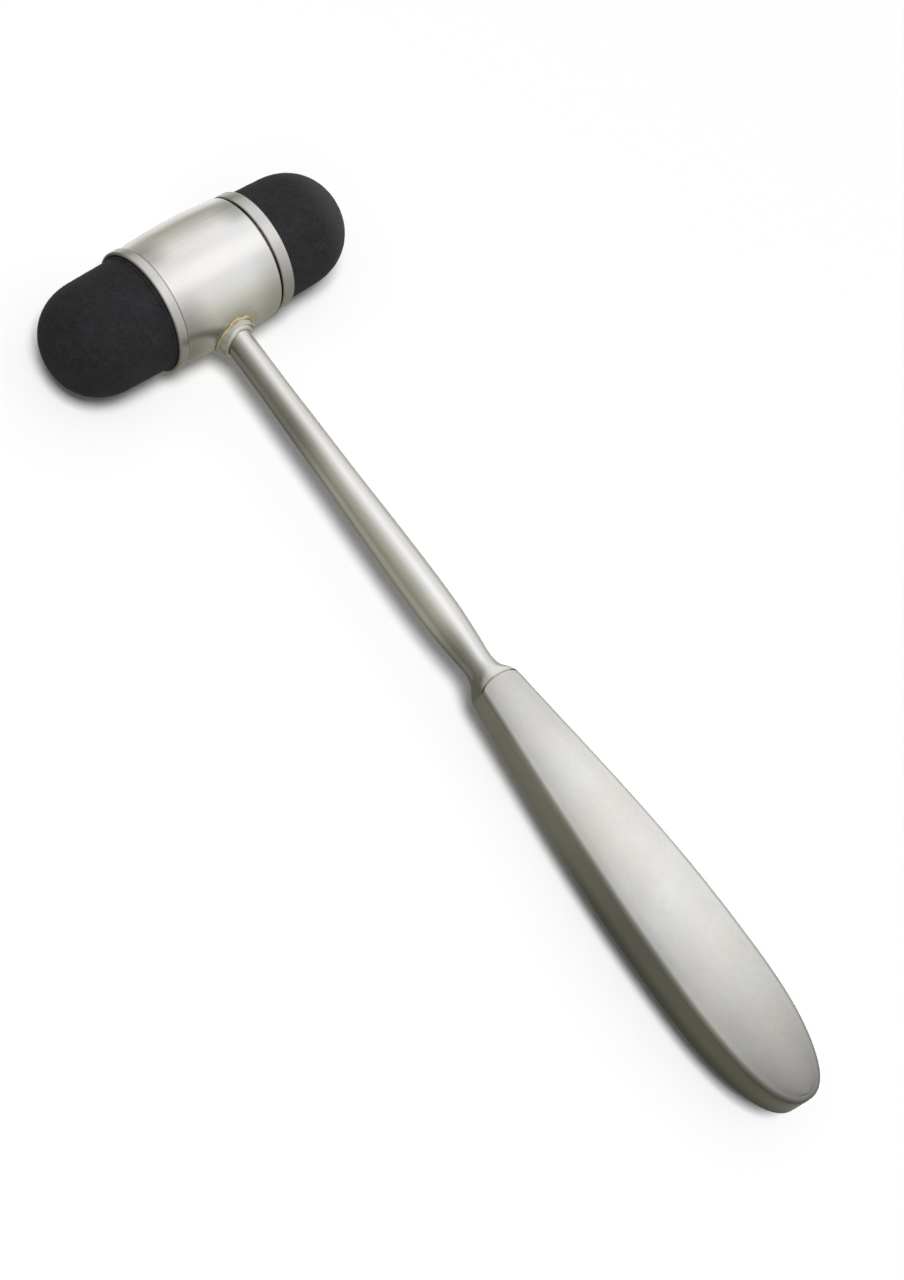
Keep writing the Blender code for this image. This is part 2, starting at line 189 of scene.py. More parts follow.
class Nodes:
    """Short names for the few shader nodes used here.

    Positions are in metres along the piece's own axes.
    """

    def __init__(self, name, metallic, base, rough, specular=0.5):
        self.mat = bpy.data.materials.new(name)
        self.mat.use_nodes = True
        self.tree = self.mat.node_tree
        self.shader = self.tree.nodes["Principled BSDF"]
        self.shader.inputs["Metallic"].default_value = metallic
        self.shader.inputs["Base Color"].default_value = (*base, 1.0)
        self.shader.inputs["Roughness"].default_value = rough
        self.shader.inputs["Specular IOR Level"].default_value = specular
        self.mat.diffuse_color = (*base, 1.0)
        self.object = self.new("ShaderNodeTexCoord").outputs["Object"]

    def new(self, kind, **settings):
        node = self.tree.nodes.new(kind)
        for key, value in settings.items():
            setattr(node, key, value)
        return node

    def put(self, socket, value):
        if isinstance(value, bpy.types.NodeSocket):
            self.tree.links.new(value, socket)
        else:
            socket.default_value = value

    def scaled(self, scale):
        node = self.new("ShaderNodeMapping")
        self.put(node.inputs["Vector"], self.object)
        node.inputs["Scale"].default_value = scale
        return node.outputs["Vector"]

    def noise(self, vector, scale, detail, roughness, distortion=0.0):
        node = self.new("ShaderNodeTexNoise")
        self.put(node.inputs["Vector"], vector)
        node.inputs["Scale"].default_value = scale
        node.inputs["Detail"].default_value = detail
        node.inputs["Roughness"].default_value = roughness
        node.inputs["Distortion"].default_value = distortion
        return node.outputs["Fac"]

    def math(self, operation, a, b=0.0, clamp=False):
        """One arithmetic node; each of a and b is a socket or a number."""
        node = self.new("ShaderNodeMath", operation=operation, use_clamp=clamp)
        self.put(node.inputs[0], a)
        self.put(node.inputs[1], b)
        return node.outputs[0]

    def product(self, *values):
        total = values[0]
        for value in values[1:]:
            total = self.math('MULTIPLY', total, value)
        return total

    def remap(self, value, start, end, low, high, kind='LINEAR'):
        """`low` where the value is `start`, `high` where it is `end`, level beyond."""
        node = self.new("ShaderNodeMapRange", interpolation_type=kind)
        self.put(node.inputs["Value"], value)
        for key, number in zip(RANGE_INPUTS, (start, end, low, high)):
            self.put(node.inputs[key], number)
        return node.outputs["Result"]

    def ramp(self, value, start, end, low=0.0, high=1.0):
        """Like remap, but easing in and out."""
        return self.remap(value, start, end, low, high, 'SMOOTHSTEP')

    def spotted(self, value, low, high, spread=0.2):
        """A noise, which stays near 0.5, stretched to run from `low` to `high`."""
        return self.remap(value, 0.5 - spread, 0.5 + spread, low, high)

    def mix(self, factor, a, b, blend='MIX'):
        node = self.new("ShaderNodeMix", data_type='RGBA', blend_type=blend)
        self.put(node.inputs["Factor"], factor)
        for socket, value in ((node.inputs[6], a), (node.inputs[7], b)):
            self.put(socket, (*value, 1.0) if isinstance(value, tuple) else value)
        return node.outputs[2]

    def times(self, colour, factor):
        """Colour darkened or lightened by a grey factor."""
        grey = self.new("ShaderNodeCombineColor")
        for socket in grey.inputs:
            self.put(socket, factor)
        return self.mix(1.0, colour, grey.outputs[0], 'MULTIPLY')

    def darker(self, colour, *amounts):
        """Colour darkened by the product of the amounts."""
        return self.times(colour, self.math('SUBTRACT', 1.0, self.product(*amounts)))

    def split(self, vector=None):
        node = self.new("ShaderNodeSeparateXYZ")
        self.put(node.inputs[0], vector or self.object)
        return node.outputs

    def length(self, vector):
        node = self.new("ShaderNodeVectorMath", operation='LENGTH')
        self.put(node.inputs[0], vector)
        return node.outputs["Value"]

    def edges(self):
        """1 on convex edges, 0 elsewhere."""
        point = self.new("ShaderNodeNewGeometry").outputs["Pointiness"]
        return self.remap(point, 0.51, 0.56, 0.0, 1.0)

    def colour(self, socket):
        self.put(self.shader.inputs["Base Color"], socket)

    def rough(self, socket):
        self.put(self.shader.inputs["Roughness"], socket)

    def bumps(self, *layers):
        """Chain of (height socket, metres) bump layers."""
        normal = None
        for height, distance in layers:
            node = self.new("ShaderNodeBump")
            node.inputs["Strength"].default_value = 1.0
            node.inputs["Distance"].default_value = distance
            self.put(node.inputs["Height"], height)
            if normal is not None:
                self.put(node.inputs["Normal"], normal)
            normal = node.outputs["Normal"]
        self.put(self.shader.inputs["Normal"], normal)


FINE_BUMP, SPECK_BUMP = 0.0000018, 0.000001      # metres
WORN_STEEL = (0.80, 0.80, 0.78)
BURNT_STEEL, GOLD_STAIN = (0.40, 0.36, 0.28), (0.70, 0.56, 0.36)
BRAZE_RESIDUE = (0.33, 0.235, 0.14)
# the second colour is a painted highlight for the small buffer's tip
DUST, PAINTED_TIP_HIGHLIGHT = (0.040, 0.037, 0.041), (0.056, 0.052, 0.056)


def steel(name, base, rough, grain, wave=0.0, wave_size=90.0, spread=0.05, tint=None,
          wear=0.35):
    """Satin steel. `grain` scales the fine lines per metre along the piece's own axes.

    `wave` is the height in metres of a slow unevenness, `wave_size` its scale, `spread`
    the contrast of the lines, and `wear` how far the convex edges are rubbed bright.
    `tint` paints shade and highlight into the colour by position, and on the barrel also a
    stain.
    """
    n = Nodes(name, 1.0, base, rough)
    lines = n.noise(n.scaled(grain), 1.0, 4.0, 0.6)
    patches = n.noise(n.object, 70.0, 3.0, 0.5, 0.4)
    specks = n.noise(n.object, 1800.0, 2.0, 0.6)
    cool = tuple(c * k for c, k in zip(base, (0.985, 0.99, 1.0)))
    warm = tuple(c * k for c, k in zip(base, (1.01, 1.0, 0.975)))
    colour = n.mix(n.spotted(patches, 0.0, 1.0, 0.15), cool, warm)
    colour = n.times(colour, n.spotted(lines, 1.0 - spread, 1.0 + spread * 0.5))
    colour = n.times(colour, n.spotted(specks, 0.985, 1.01))
    worn = n.edges()
    colour = n.mix(n.product(worn, wear), colour, WORN_STEEL)
    # painted shade and highlight, and stains, by position
    if tint is not None:
        colour = tint(n, colour)
    n.colour(colour)
    uneven = n.spotted(lines, rough * 0.88, rough * 1.12, 0.25)
    uneven = n.math('ADD', uneven, n.spotted(patches, -0.02, 0.02))
    n.rough(n.math('SUBTRACT', uneven, n.product(worn, wear * 0.17), clamp=True))
    layers = [(lines, FINE_BUMP), (specks, SPECK_BUMP)]
    if wave:
        layers.append((n.noise(n.object, wave_size, 2.0, 0.5, 0.6), wave))
    n.bumps(*layers)
    return n.mat


def rubber(name, base, tip_highlight=None):
    """Matt moulded rubber: mottled skin, fine grit and faint dust, with an optional painted
    highlight.

    The third argument is a (start, end) height along the plug over which the painted highlight
    turns the skin paler.
    """
    n = Nodes(name, 0.0, base, 0.82, specular=0.28)
    skin = n.noise(n.object, 2600.0, 3.0, 0.65)
    coarse = n.noise(n.object, 480.0, 5.0, 0.7)
    dust = n.noise(n.object, 95.0, 5.0, 0.65, 0.5)
    grit = n.noise(n.object, 1250.0, 2.0, 0.6)
    colour = n.mix(n.spotted(coarse, 0.0, 1.0, 0.15), tuple(c * 0.72 for c in base),
                   tuple(c * 1.3 for c in base))
    colour = n.times(colour, n.spotted(grit, 0.74, 1.28))
    colour = n.mix(n.remap(dust, 0.52, 0.75, 0.0, 0.22), colour, DUST)
    # painted highlight: the skin turns paler towards the plug's tip
    if tip_highlight is not None:
        height = n.split()[2]
        colour = n.mix(n.ramp(height, *tip_highlight, 0.0, 0.75), colour, PAINTED_TIP_HIGHLIGHT)
    n.colour(colour)
    n.rough(n.spotted(coarse, 0.74, 0.92))
    n.bumps((skin, 0.00005), (coarse, 0.00006))
    return n.mat


def brass(name):
    """Golden braze, burnt brown in places."""
    n = Nodes(name, 1.0, (0.78, 0.66, 0.46), 0.32)
    patches = n.noise(n.object, 500.0, 3.0, 0.6)
    colour = n.mix(n.spotted(patches, 0.0, 1.0, 0.15), (0.86, 0.77, 0.59),
                   (0.60, 0.45, 0.28))
    burnt = n.noise(n.object, 240.0, 3.0, 0.6)
    n.colour(n.mix(n.remap(burnt, 0.46, 0.66, 0.0, 0.8), colour, (0.30, 0.24, 0.16)))
    n.rough(n.spotted(patches, 0.24, 0.42))
    n.bumps((n.noise(n.object, 900.0, 3.0, 0.6), 0.00004))
    return n.mat


def barrel_painted_light_and_stain(n, colour):
    """Painted reflection streaks along the barrel, painted shade at its margins and a heat
    stain round the collar.

    The barrel's own axis is local Z and the shaft leaves it towards local -Y.
    """
    x, y, z = n.split()
    off_middle = n.math('ABSOLUTE', z)
    # painted reflection: bright and dark streaks along the axis on the side away from the
    # handle
    reflection_streaks = n.noise(n.scaled((420.0, 420.0, 16.0)), 1.0, 3.0, 0.5)
    band = n.spotted(reflection_streaks, 0.90, 1.05, 0.15)
    upper = n.remap(y, 0.001, 0.006, 0.0, 1.0)
    colour = n.times(colour, n.math('ADD', n.product(n.math('SUBTRACT', band, 1.0), upper),
                                    1.0))
    # painted shade: darker towards both ends on the handle's side, most at the larger buffer
    colour = n.darker(colour, n.ramp(off_middle, 0.0045, 0.0125),
                      n.ramp(y, -0.003, -0.0105), n.ramp(z, -0.006, 0.006, 0.42, 0.24))
    # painted shade: darker along the far crest, near the larger buffer
    colour = n.darker(colour, n.ramp(y, 0.0115, 0.0135, 0.0, 0.11),
                      n.ramp(z, -0.002, -0.008))
    # painted shade: darker at both ends on the side away from the handle
    colour = n.darker(colour, n.ramp(off_middle, 0.0055, 0.0125, 0.0, 0.34),
                      n.ramp(y, 0.001, 0.005), n.ramp(y, 0.0105, 0.0080))
    # heat stain round the collar's foot, brown outside and gold inside
    around = n.new("ShaderNodeCombineXYZ")
    n.put(around.inputs[0], n.product(x, 0.79))
    n.put(around.inputs[2], z)
    ragged = n.noise(n.object, 380.0, 3.0, 0.6)
    reach = n.math('ADD', n.length(around.outputs[0]), n.spotted(ragged, -0.0005, 0.0005))
    side = n.remap(y, -0.009, -0.0125, 0.0, 1.0)
    brown = n.product(n.ramp(reach, 0.0076, 0.0050, 0.0, 0.45), side)
    gold = n.product(n.ramp(reach, 0.0059, 0.0051, 0.0, 0.6), side)
    return n.mix(gold, n.mix(brown, colour, BURNT_STEEL), GOLD_STAIN)


def ring_painted_shade(n, colour):
    """Painted shade: the rings are darker on the side away from the handle and on the side
    towards it.
    """
    y = n.split()[1]
    for start, end, factor in ((0.0075, 0.0125, 0.66), (0.0124, 0.0137, 0.74),
                               (-0.004, -0.0095, 0.82)):
        colour = n.times(colour, n.ramp(y, start, end, 1.0, factor))
    return colour


def shaft_painted_light(n, colour):
    """Painted light: the rod is lighter between its ends, and painted shade darkens one side
    near the head and near the handle's neck.
    """
    x, y = n.split()[:2]
    along = n.product(y, -1.0)
    ends = n.math('MAXIMUM', n.ramp(along, 0.060, 0.040), n.ramp(along, 0.094, 0.106))
    # painted highlight: lighter away from both ends
    colour = n.times(colour, n.remap(ends, 0.0, 1.0, 1.09, 1.0))
    # painted shade on one side near both ends
    return n.darker(colour, ends, n.ramp(x, 0.0002, -0.0026, 0.0, 0.42))


def side_painted_shade(n, colour, along):
    """Painted shade: the handle's side wall is darker towards the butt."""
    return n.times(colour, n.ramp(along, 0.134, 0.182, 0.93, 0.63))


def face_painted_light_and_mottle(n, colour):
    """Painted light: the plate is brightest at a third of its length, with painted shade
    towards the butt, across to the left and on its rounded side.
    """
    x, y = n.split()[:2]
    along = n.product(y, -1.0)
    normal = n.split(n.new("ShaderNodeNewGeometry").outputs["Normal"])
    # painted highlight and shade along the plate and across it; the cloud and fine noise are
    # the metal's own uneven tone
    rise = n.ramp(along, 0.114, 0.146, 0.93, 1.12)
    to_butt = n.remap(along, 0.166, 0.228, 0.0, 1.0)
    fall = n.math('SUBTRACT', 1.0, n.product(n.math('POWER', to_butt, 1.9), 0.66))
    across = n.ramp(x, -0.0085, 0.003, 0.82, 1.03)
    cloud = n.spotted(n.noise(n.object, 110.0, 4.0, 0.55, 0.3), 0.96, 1.035)
    fine = n.spotted(n.noise(n.object, 900.0, 3.0, 0.6), 0.975, 1.02)
    top = colour
    for factor in (rise, fall, across, cloud, fine):
        top = n.times(top, factor)
    # painted shade along the rounded edge at the right
    top = n.darker(top, n.ramp(normal[0], 0.2, 0.55), n.ramp(along, 0.160, 0.174, 0.05, 0.16))
    # painted shade along the left margin, strongest at the neck and in the broad part
    reach = n.math('DIVIDE', x, n.remap(along, 0.114, 0.172, 0.0054, 0.0105))
    strength = n.math('MAXIMUM', n.ramp(along, 0.122, 0.134, 0.30, 0.10),
                      n.ramp(along, 0.142, 0.162, 0.10, 0.27))
    top = n.darker(top, n.ramp(reach, -0.6, -1.0), strength,
                   n.ramp(along, 0.184, 0.204, 1.0, 0.0))
    # painted shade on the plate's rounded side, which takes over where the surface turns away
    # from facing up
    side = n.times(side_painted_shade(n, colour, along), n.ramp(along, 0.135, 0.185, 0.82, 0.62))
    return n.mix(n.ramp(normal[2], 0.15, 0.62), side, top)


def wall_painted_shade_and_braze(n, colour):
    """Side wall with painted shade towards the butt and at its foot, and with braze left along
    the plate's edge.
    """
    y, z = n.split()[1:]
    along = n.product(y, -1.0)
    # painted shade: darker towards the butt and towards the wall's foot
    colour = n.darker(side_painted_shade(n, colour, along), n.ramp(z, 0.0010, -0.0048, 0.0, 0.50),
                      n.remap(along, 0.15, 0.17, 0.2, 1.0))
    ragged = n.spotted(n.noise(n.object, 260.0, 4.0, 0.6), 0.25, 1.0, 0.15)
    residue = n.product(n.ramp(along, 0.212, 0.222, 0.0, 0.85), n.ramp(z, 0.0031, 0.0042),
                        ragged)
    return n.mix(residue, colour, BRAZE_RESIDUE)


# ---------------------------------------------------------------- head

SOCKET_R, SPIGOT_R, WEB_HALF = 12.0, 13.2, 4.5
SPIGOT_SHORT = 1.5             # how far a spigot ends inside its ring's mouth
BARREL_R, BARREL_END_R, BARREL_LEFT, BARREL_RIGHT = 15.5, 14.8, 13.2, 13.8
LEFT_ROUND, RIGHT_ROUND = 0.35, 0.8
LARGE_RING_R, LARGE_RING_MOUTH, LARGE_BEAD_R = 15.15, 15.8, 14.25
SMALL_RING_R, SMALL_RING_MOUTH, SMALL_BEAD_R = 14.75, 17.4, 13.9
BUFFER_R, TIP_SLIMMER, DOME_POWER = 13.9, 0.25, 0.91
STEM_R, RIB_R, STEM_START = 11.2, 11.65, -0.9


def barrel_radius(h):
    mid = (BARREL_RIGHT - BARREL_LEFT) / 2
    u = (h - mid) / ((BARREL_RIGHT + BARREL_LEFT) / 2)
    return BARREL_R - (BARREL_R - BARREL_END_R) * u * u


def make_barrel():
    left, right, chamfer, nib = LEFT_ROUND, RIGHT_ROUND, 0.3, 0.2
    right_end = SMALL_RING_MOUTH - SPIGOT_SHORT
    left_end = SPIGOT_SHORT - LARGE_RING_MOUTH
    outer = []
    for i in range(33):
        h = (BARREL_RIGHT - right) - (BARREL_RIGHT + BARREL_LEFT - right - left) * i / 32
        outer.append((barrel_radius(h), h))
    profile = [(0.0, WEB_HALF), (SOCKET_R - chamfer, WEB_HALF), (SOCKET_R, WEB_HALF + chamfer),
               (SOCKET_R, right_end - chamfer), (SOCKET_R + chamfer, right_end),
               (SPIGOT_R - nib, right_end), (SPIGOT_R, right_end - nib),
               (SPIGOT_R, BARREL_RIGHT)]
    profile += arc(outer[0][0] - right, BARREL_RIGHT - right, right, 90, 4, 7) + outer
    profile += arc(outer[-1][0] - left, left - BARREL_LEFT, left, -4, -90, 7)
    profile += [(SPIGOT_R, -BARREL_LEFT), (SPIGOT_R, left_end + nib),
                (SPIGOT_R - nib, left_end), (SOCKET_R + chamfer, left_end),
                (SOCKET_R, left_end + chamfer), (SOCKET_R, -WEB_HALF - chamfer),
                (SOCKET_R - chamfer, -WEB_HALF), (0.0, -WEB_HALF)]
    obj = turned("barrel_shell", profile)
    obj.rotation_euler = (0.0, math.pi / 2, 0.0)
    mat = steel("barrel_satin", (0.665, 0.66, 0.65), 0.25, (2200.0, 2200.0, 140.0),
                wave=0.00004, wave_size=110.0, spread=0.03, tint=barrel_painted_light_and_stain)
    settle(obj, mat, "hammer", "head_barrel")


def make_ring(name, node, outer_r, seam, mouth, bead_r, side, foot, mat):
    """Rolled end ring from its seam to its mouth: rounded lip, softened `foot` at the seam."""
    bore, lip, nib, seat = SPIGOT_R + 0.3, 0.5, 0.12, mouth - 1.2
    inner = bead_r + 0.22
    profile = arc(inner + nib, mouth - nib, nib, 180, 90, 3)
    profile += arc(outer_r - lip, mouth - lip, lip, 90, 0, 8)
    profile += [(outer_r, (mouth + seam) / 2)]
    profile += arc(outer_r - foot, seam + foot, foot, 0, -90, 6)
    profile += [(bore + 0.1, seam), (bore, seam + 0.1), (bore, seat), (inner, seat)]
    obj = turned(name, profile, closed=True)
    obj.rotation_euler = (0.0, side * math.pi / 2, 0.0)
    settle(obj, mat, "hammer", node)


def make_buffer(name, node, body, bead_r, proud, mouth, reach, depth, side, mat):
    """Domed rubber plug with a bead at its mouth and a ribbed stem inside the socket.

    The dome is `depth` long and ends `reach` out of the ring's mouth, and the bead stands
    `proud` of that mouth. `side` is -1 for the larger buffer and 1 for the smaller one.
    """
    stem_end = WEB_HALF - mouth + 0.3
    tip_r = BUFFER_R - TIP_SLIMMER
    top = reach - depth
    profile = [(0.0, reach)]
    for i in range(1, 33):
        a = math.pi / 2 * i / 32
        profile.append((tip_r * math.sin(a) ** DOME_POWER,
                        top + depth * math.cos(a) ** DOME_POWER))
    overhang = bead_r - BUFFER_R
    foot = proud + min(0.35, overhang + 0.15)
    for i in range(1, 9):
        profile.append((tip_r + TIP_SLIMMER * i / 8, top + (foot - top) * i / 8))
    if overhang > 0.2:
        profile += [(BUFFER_R + 0.03, proud + 0.16), (BUFFER_R + 0.1, proud + 0.04)]
        profile += arc(bead_r - 0.28, proud - 0.28, 0.28, 90, 0, 5)
    else:
        profile += [(BUFFER_R, proud - 0.1)]
    profile += [(bead_r, STEM_START + 0.1), (bead_r - 0.1, STEM_START), (STEM_R, STEM_START)]
    for part in (0.34, 0.72):
        rib = STEM_START - part * (STEM_START - stem_end)
        profile += [(STEM_R, rib + 0.8), (RIB_R, rib + 0.3), (RIB_R, rib - 0.1),
                    (STEM_R, rib - 0.9)]
    profile += arc(STEM_R - 0.6, stem_end + 0.6, 0.6, 0, -90, 5)
    profile += [(0.0, stem_end)]
    obj = turned(name, profile)
    obj.location = (side * mouth * MM, 0.0, 0.0)
    obj.rotation_euler = (0.0, side * math.pi / 2, 0.0)
    settle(obj, mat, body, node)


def on_barrel(x, z, lift):
    """Distance from the head's axis of a point `lift` above the barrel's skin."""
    skin = barrel_radius(x) + lift
    return math.sqrt(max(skin * skin - z * z, 1.0))


def saddle(name, rows, steps, wobble=0.0, lean=0.0):
    """Ring about the shaft's axis from (half x, half z, height, lifted) rows.

    A lifted row's height counts from the barrel's skin, any other from the head's axis
    plus `lean` times the way down and towards the larger buffer.
    """
    bm = bmesh.new()
    rings = []
    for half_x, half_z, level, lifted in rows:
        ring = []
        for i in range(steps):
            a = math.tau * i / steps
            x, z = half_x * math.cos(a), half_z * math.sin(a)
            if wobble:
                push = noise.noise(Vector((math.cos(a) * 3, math.sin(a) * 3, half_x * 2.0)))
                x, z = x * (1 + wobble * push / half_x), z * (1 + wobble * push / half_z)
            h = on_barrel(x, z, level) if lifted else level - lean * (z + min(x, 0))
            if wobble:
                spot = Vector((math.sin(a) * 4, math.hypot(x, z), math.cos(a) * 4))
                h += 0.4 * wobble * noise.noise(spot)
            ring.append(bm.verts.new((x * MM, -h * MM, z * MM)))
        rings.append(ring)
    bands(bm, rings, closed=True)
    return link(name, bm)


def make_collar():
    """Low boss: a foot that hugs the barrel, a short side and a leaning rounded shoulder."""
    top, shoulder, r, flat_r, bore = 17.2, 16.1, 4.45, 3.55, 3.43
    rows = [(bore, bore, 0.3, True), (bore, bore, top - 0.1, False),
            (bore + 0.1, bore + 0.1, top, False)]
    for i in range(9):
        a = math.pi / 2 * i / 8
        out = flat_r + (r - flat_r) * math.sin(a)
        rows.append((out, out, shoulder + (top - shoulder) * math.cos(a), False))
    rows += [(r + 0.12, r + 0.3, 0.85, True), (r + 0.25, r + 0.9, 0.5, True),
             (r + 0.4, r + 1.55, 0.25, True)]
    mat = steel("collar_satin", (0.60, 0.595, 0.58), 0.32, (900.0, 200.0, 900.0), spread=0.05)
    settle(saddle("collar_boss", rows, 96, lean=0.24), mat, "hammer",
           "shaft_collar")


def make_braze():
    """Thin uneven bead of braze along the collar's foot."""
    rows = [(4.72, 5.85, 0.12, True), (4.75, 5.9, 0.40, True)]
    for i in range(7):
        a = math.pi / 2 * i / 6
        rows.append((4.82 + 0.46 * math.sin(a), 6.0 + 0.6 * math.sin(a),
                     0.02 + 0.44 * math.cos(a) ** 0.8, True))
    settle(saddle("braze_bead", rows, 120, wobble=0.34), brass("braze_brass"), "hammer",
           "braze_fillet")


# ---------------------------------------------------------------- shaft and handle

SHAFT = ((16.0, 3.4), (30.0, 3.45), (44.0, 3.7), (58.0, 3.95), (72.0, 4.35), (86.0, 4.6),
         (97.0, 4.5), (105.0, 3.95), (109.0, 3.62))      # (place, radius)
TENON = ((2.1, 5.4), (2.5, 5.8), (2.5, 16.0), (3.3, 16.0))      # (radius, place)
START, WIDEST, END = 114.25, 194.0, 229.5                       # of the handle
TANG = ((4.6, START), (2.0, START), (2.0, 149.4), (1.6, 150.0))
NECK_W, MAX_W = 5.4, 10.85                                      # half widths
NECK_T, MAX_T, BUTT_T = 4.75, 7.4, 5.6                          # half thicknesses
FLAT_START, FLAT_END = 181.0, 201.0                             # thickest stretch
WIDTH_POWER, THICKNESS_POWER = 1.13, 1.12                       # swell from the neck
BUTT_POWER = 2.45                                               # squareness of the butt
EDGE_R, WALL = 1.4, 1.2
CAMBER, CAMBER_POWER, CAMBER_W = 0.65, 2.2, 8.0
FRONT_INSET = 0.04             # share of an inset by which the front edge moves


def neck_roof(x):
    """Half height of the handle's neck section at `x`."""
    flat = NECK_W - EDGE_R
    edge = NECK_T - crown(START)
    if x < flat:
        return edge + crown(START) * (1 - (x / flat) ** CAMBER_POWER)
    return edge - EDGE_R + math.sqrt(max(EDGE_R ** 2 - (x - flat) ** 2, 0.0))


def flare_rows():
    """(radius, place, squareness) where the rod widens to the handle, along an arc."""
    place, root = SHAFT[-1]
    count, sweep = 32, math.radians(72.0)
    rows = []
    for i in range(1, count + 1):
        a = sweep * i / count
        along = math.sin(a) / math.sin(sweep)
        out = (1 - math.cos(a)) / (1 - math.cos(sweep))
        rows.append((root + (NECK_W - root) * out, place + (START + 0.02 - place) * along,
                     along ** 5))
    return rows


def make_shaft():
    """Round rod whose end flares out to the rounded oblong of the handle's neck."""
    bm = bmesh.new()
    steps, rings = 120, []
    rows = [(r, y, 0.0) for r, y in TENON]
    rows += [(r, y, 0.0) for y, r in smooth_curve(SHAFT, 200)]
    rows += flare_rows()
    rows += [(r, y, 0.0) for r, y in TANG]
    for r, y, square in rows:
        tall = r * (1 - square * (1 - NECK_T / NECK_W))
        power = 2 + 6 * square
        ring = []
        for i in range(steps):
            a = math.tau * i / steps
            reach = (abs(math.cos(a)) / r) ** power + (abs(math.sin(a)) / tall) ** power
            reach = reach ** (-1 / power)
            x, z = reach * math.cos(a), reach * math.sin(a)
            roof = r / NECK_W * neck_roof(abs(x) * NECK_W / r)
            z += square * (math.copysign(min(abs(z), roof), z) - z)
            ring.append(bm.verts.new((x * MM, -(y + square * front(x)) * MM, z * MM)))
        rings.append(ring)
    bands(bm, rings)
    for ring in (rings[0], rings[-1]):
        bm.faces.new(ring)
    mat = steel("shaft_satin", (0.62, 0.615, 0.605), 0.27, (1500.0, 60.0, 1500.0),
                wave=0.00002, wave_size=120.0, spread=0.04, tint=shaft_painted_light)
    settle(link("shaft_rod", bm), mat, "hammer", "shaft")


def half_width(y):
    if y >= WIDEST:
        u = min(1.0, (y - WIDEST) / (END - WIDEST))
        return MAX_W * (1.0 - u ** BUTT_POWER) ** (1.0 / BUTT_POWER)
    u = max(0.0, (y - START) / (WIDEST - START))
    return NECK_W + (MAX_W - NECK_W) * math.sin(math.pi / 2 * u) ** WIDTH_POWER


def half_thickness(y):
    if y > FLAT_END:
        u = (y - FLAT_END) / (END - FLAT_END)
        return MAX_T - (MAX_T - BUTT_T) * u ** 2.0
    u = min(1.0, max(0.0, (y - START) / (FLAT_START - START)))
    return NECK_T + (MAX_T - NECK_T) * math.sin(math.pi / 2 * u) ** THICKNESS_POWER


def front(x):
    """How far the neck's front edge falls back at `x`: an arch with rounded corners."""
    u = min(1.0, abs(x) / NECK_W)
    return 0.95 * u * u + 0.6 * u ** 10


def outline(inset):
    """Plan outline of the handle moved inwards by `inset`, one half then its mirror."""
    right = []
    for i in range(15):
        x = NECK_W * math.sin(math.pi / 2 * i / 14) ** 0.8
        right.append((x, START + front(x)))
    first = START + front(NECK_W)
    for i in range(1, 61):
        y = first + (WIDEST - first) * i / 60
        right.append((half_width(y), y))
    for i in range(1, 40):
        a = math.pi / 2 * i / 40
        right.append((MAX_W * math.cos(a) ** (2 / BUTT_POWER),
                      WIDEST + (END - WIDEST) * math.sin(a) ** (2 / BUTT_POWER)))
    full = right + [(0.0, END)] + [(-x, y) for x, y in reversed(right[1:])]
    moved = []
    for i, (x, y) in enumerate(full):
        a, b = full[i - 1], full[(i + 1) % len(full)]
        tangent = Vector((b[0] - a[0], b[1] - a[1])).normalized()
        at_front = abs(x) < NECK_W - 0.01 and y < START + 2
        share = FRONT_INSET if at_front else 1.0
        moved.append((x - tangent.y * inset, y + tangent.x * inset * share))
    return moved


def crown(y):
    """How far the middle of a face stands above its edges: a gentle pressed camber."""
    return CAMBER * min(1.0, half_width(y) / CAMBER_W)


def handle_loft(name, layers, bulge):
    """Closed loft through the outline at several (inset, height function) levels.

    `bulge` lifts the middle of the first and last face by that many times the camber.
    """
    bm = bmesh.new()
    rings = [[bm.verts.new((x * MM, -y * MM, height(y) * MM)) for x, y in outline(inset)]
             for inset, height in layers]
    bands(bm, rings)
    columns = 16
    for ring, sign in zip((rings[0], rings[-1]), bulge):
        rows = []
        for i in range(len(ring) // 2 + 1):
            a, b = ring[i], ring[-i]
            row = [a]
            if a is not b:
                row += [bm.verts.new(a.co.lerp(b.co, c / columns)) for c in range(1, columns)]
                row.append(b)
            y = -a.co.y / MM
            half = max(1e-6, NECK_W - EDGE_R if y < START + 2 else a.co.x / MM)
            for vert in row:
                across = min(1.0, abs(vert.co.x) / MM / half)
                vert.co.z += sign * crown(y) * (1 - across ** CAMBER_POWER) * MM
            rows.append(row)
        for near, far in zip(rows, rows[1:]):
            for c in range(columns):
                quad = [near[min(c, len(near) - 1)], near[min(c + 1, len(near) - 1)],
                        far[min(c + 1, len(far) - 1)], far[min(c, len(far) - 1)]]
                quad = list(dict.fromkeys(quad))
                if len(quad) > 2:
                    bm.faces.new(quad)
    return link(name, bm)


